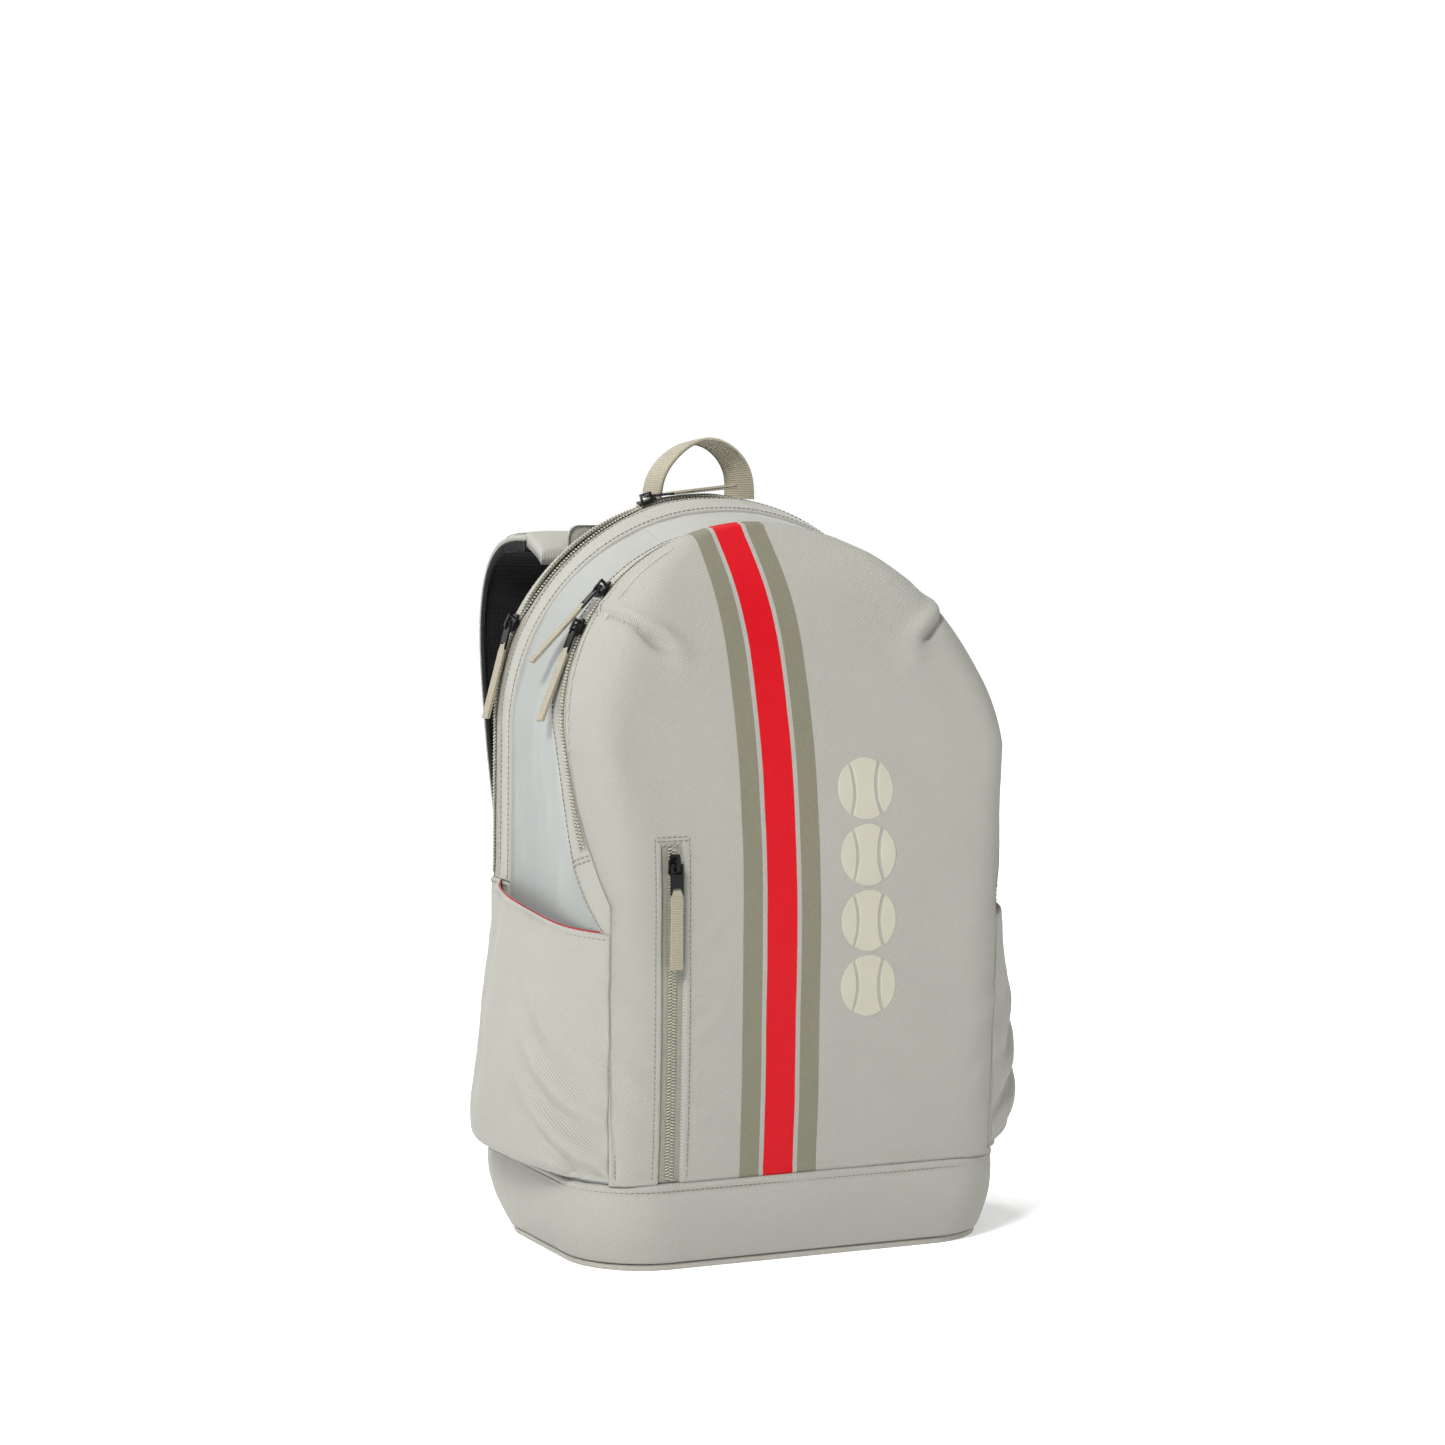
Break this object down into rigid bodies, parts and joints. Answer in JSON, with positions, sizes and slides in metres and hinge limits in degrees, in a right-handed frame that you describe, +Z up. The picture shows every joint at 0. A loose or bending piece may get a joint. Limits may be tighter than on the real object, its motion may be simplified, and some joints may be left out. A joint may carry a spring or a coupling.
{
  "type": "racket backpack",
  "caption": "Soft rucksack for rackets: arched shell with zipped front flap, zipped main compartment, side pockets, padded back and shoulder straps.",
  "frame": {"origin": "centre of the flat underside of the base", "axes": "+Z up, -Y towards the front of the bag, +X to its right-hand side seen from the front"},
  "size_m": [0.3606, 0.3022, 0.5139],
  "materials": {
    "shell_twill": "coated diagonal twill, matt",
    "side_cloth": "smooth plain weave",
    "zip_tape": "ribbed woven tape",
    "zip_teeth": "coil teeth",
    "black_metal": "black enamel",
    "webbing": "ribbed webbing",
    "black_plastic": "moulded plastic",
    "black_mesh": "spacer mesh over foam",
    "red_lining": "plain lining",
    "piping": "covered cord",
    "stiffener": "closed-cell foam and board",
    "inner_lining": "plain lining"
  },
  "bodies": {
    "pack": {"back_foam": "stiffener", "back_gusset": "shell_twill", "back_pads": "black_mesh", "back_panel": "black_mesh", "base_board": "stiffener", "base_boot": "shell_twill", "base_panel": "inner_lining", "base_piping": "piping", "front_panel_lower": "shell_twill", "front_zip_chain": "zip_teeth", "front_zip_tape": "zip_tape", "handle_patch": "shell_twill", "laptop_sleeve": "inner_lining", "lumbar_pad": "black_mesh", "main_band": "shell_twill", "main_zip_chain": "zip_teeth", "main_zip_tape_back": "zip_tape", "main_zip_tape_front": "zip_tape", "organiser_pocket": "inner_lining", "pocket_divider": "inner_lining", "pocket_linings": "red_lining", "side_lower_left": "side_cloth", "side_lower_right": "side_cloth", "side_panel_left": "side_cloth", "side_panel_right": "side_cloth", "side_pocket_left": "shell_twill", "side_pocket_right": "shell_twill", "strap_anchors": "webbing", "strap_necks": "shell_twill", "strap_yoke": "shell_twill", "top_panel": "side_cloth", "welt_chain": "zip_teeth", "welt_pocket_bag": "inner_lining", "welt_tape": "zip_tape"},
    "front_flap": {"front_flap": "shell_twill", "front_flap_binding": "zip_tape"},
    "grab_handle": {"grab_handle": "webbing"},
    "strap_left": {"strap_pad_left": "shell_twill", "strap_mesh_left": "black_mesh", "ladder_lock_left": "black_plastic", "strap_webbing_left": "webbing"},
    "strap_right": {"strap_pad_right": "shell_twill", "strap_mesh_right": "black_mesh", "ladder_lock_right": "black_plastic", "strap_webbing_right": "webbing"},
    "main_slider_left": {"main_slider_left": "black_metal"},
    "main_pull_left": {"main_link_left": "black_metal", "main_tab_left": "webbing"},
    "main_slider_top": {"main_slider_top": "black_metal"},
    "main_pull_top": {"main_link_top": "black_metal", "main_tab_top": "webbing"},
    "front_slider_upper": {"front_slider_upper": "black_metal"},
    "front_pull_upper": {"front_link_upper": "black_metal", "front_tab_upper": "webbing"},
    "front_slider_lower": {"front_slider_lower": "black_metal"},
    "front_pull_lower": {"front_link_lower": "black_metal", "front_tab_lower": "webbing"},
    "welt_slider": {"welt_slider": "black_metal"},
    "welt_pull": {"welt_link": "black_metal", "welt_tab": "webbing"}
  },
  "joints": [
    {"name": "front_flap_fold", "type": "hinge", "parent": "pack", "child": "front_flap", "pos_m": [0, -0.0932, 0.288], "axis": [1, 0, 0], "range_deg": [0, 72]},
    {"name": "grab_handle_tilt", "type": "hinge", "parent": "pack", "child": "grab_handle", "pos_m": [0, 0.089, 0.484], "axis": [1, 0, 0], "range_deg": [-80, 0]},
    {"name": "strap_left_swing", "type": "hinge", "parent": "pack", "child": "strap_left", "pos_m": [-0.08, 0.121, 0.444], "axis": [0.132, 0.0522, 0.9899], "range_deg": [-18, 18]},
    {"name": "strap_right_swing", "type": "hinge", "parent": "pack", "child": "strap_right", "pos_m": [0.08, 0.121, 0.444], "axis": [-0.132, 0.0522, 0.9899], "range_deg": [-18, 18]},
    {"name": "main_slider_left_travel", "type": "hinge", "parent": "pack", "child": "main_slider_left", "pos_m": [0, 0.07, 0.326], "axis": [0, -1, 0], "range_deg": [-38, 15]},
    {"name": "main_pull_left_swing", "type": "hinge", "parent": "main_slider_left", "child": "main_pull_left", "pos_m": [-0.13796, 0.07, 0.39329], "axis": [-0.0306, 0.9976, -0.0627], "range_deg": [0, 115]},
    {"name": "main_slider_top_travel", "type": "hinge", "parent": "pack", "child": "main_slider_top", "pos_m": [0, 0.07, 0.326], "axis": [0, -1, 0], "range_deg": [-95, 38]},
    {"name": "main_pull_top_swing", "type": "hinge", "parent": "main_slider_top", "child": "main_pull_top", "pos_m": [-0.04231, 0.07, 0.47355], "axis": [0, -1, 0], "range_deg": [0, 115]},
    {"name": "front_slider_upper_travel", "type": "hinge", "parent": "pack", "child": "front_slider_upper", "pos_m": [0, -0.05025, 0.31539], "axis": [0, -0.9379, 0.3469], "range_deg": [-134, 2]},
    {"name": "front_pull_upper_swing", "type": "hinge", "parent": "front_slider_upper", "child": "front_pull_upper", "pos_m": [-0.11119, -0.01256, 0.42001], "axis": [0.1388, 0.99, 0.0262], "range_deg": [0, 150]},
    {"name": "front_slider_lower_travel", "type": "hinge", "parent": "pack", "child": "front_slider_lower", "pos_m": [0, -0.05025, 0.31539], "axis": [0, -0.9379, 0.3469], "range_deg": [-2, 20]},
    {"name": "front_pull_lower_swing", "type": "hinge", "parent": "front_slider_lower", "child": "front_pull_lower", "pos_m": [-0.13188, -0.02143, 0.39605], "axis": [-0.0488, 0.9924, -0.1125], "range_deg": [0, 150]},
    {"name": "welt_slider_travel", "type": "slide", "parent": "pack", "child": "welt_slider", "axis": [0, -0.0105, -0.9999], "range_m": [0, 0.165]},
    {"name": "welt_pull_swing", "type": "hinge", "parent": "welt_slider", "child": "welt_pull", "pos_m": [-0.098, -0.1029, 0.25406], "axis": [-1, 0, 0], "range_deg": [0, 150]}
  ]
}
